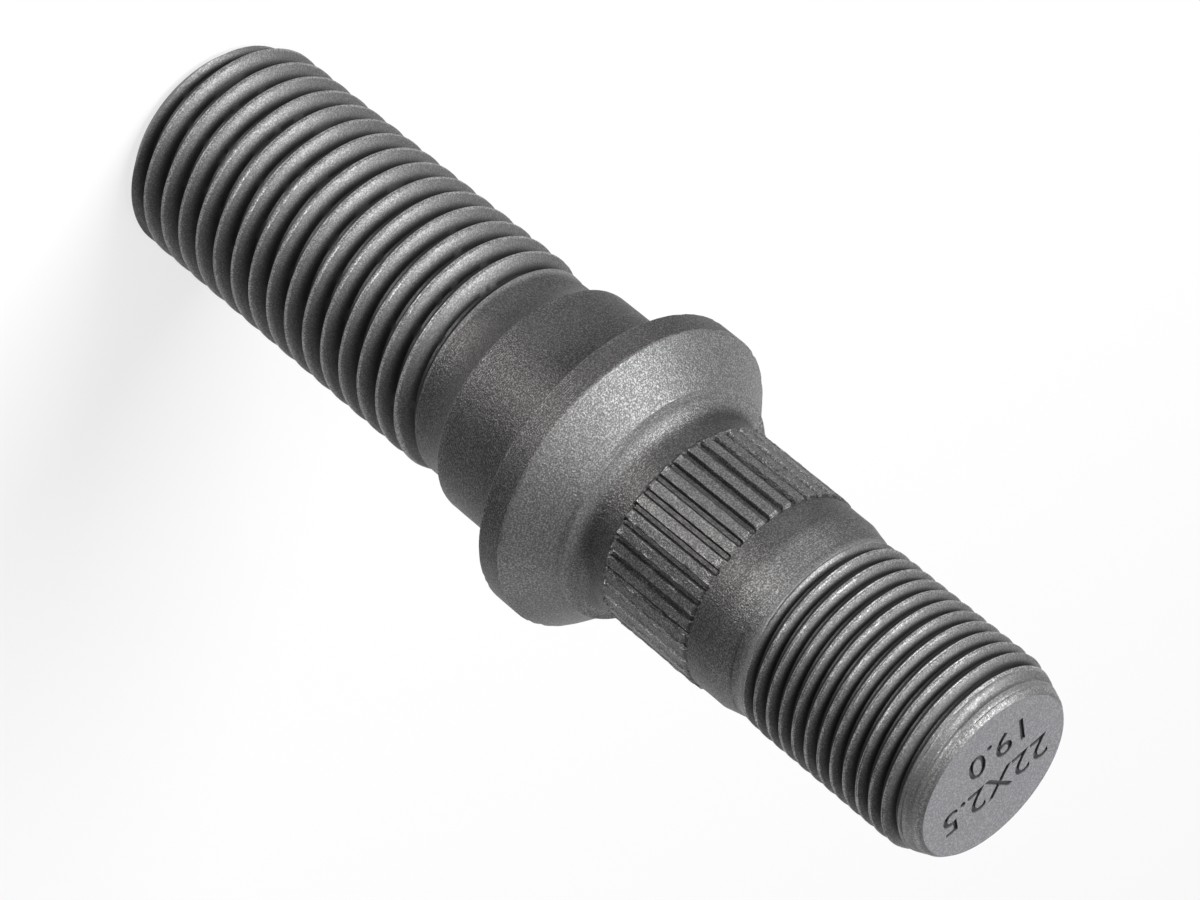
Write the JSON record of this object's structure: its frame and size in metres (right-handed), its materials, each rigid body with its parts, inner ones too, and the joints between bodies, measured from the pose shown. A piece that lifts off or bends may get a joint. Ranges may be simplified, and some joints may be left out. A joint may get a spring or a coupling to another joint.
{
  "type": "wheel stud",
  "caption": "Double-ended steel wheel stud: coarse wheel-side thread, plain shank, coned collar, serrated press-fit body and finer hub-side thread, to hold a wheel on a hub.",
  "frame": {"origin": "on the stud's axis, at the end face of the wheel-side thread, on which it stands", "axes": "+Z along the stud's axis, from the wheel-side end up to the hub-side end"},
  "size_m": [0.03, 0.03, 0.1006],
  "materials": {
    "phosphated_steel": "matte dark grey, shot-blasted and phosphated"
  },
  "bodies": {
    "root": {"wheel_stud": "phosphated_steel"}
  },
  "joints": []
}
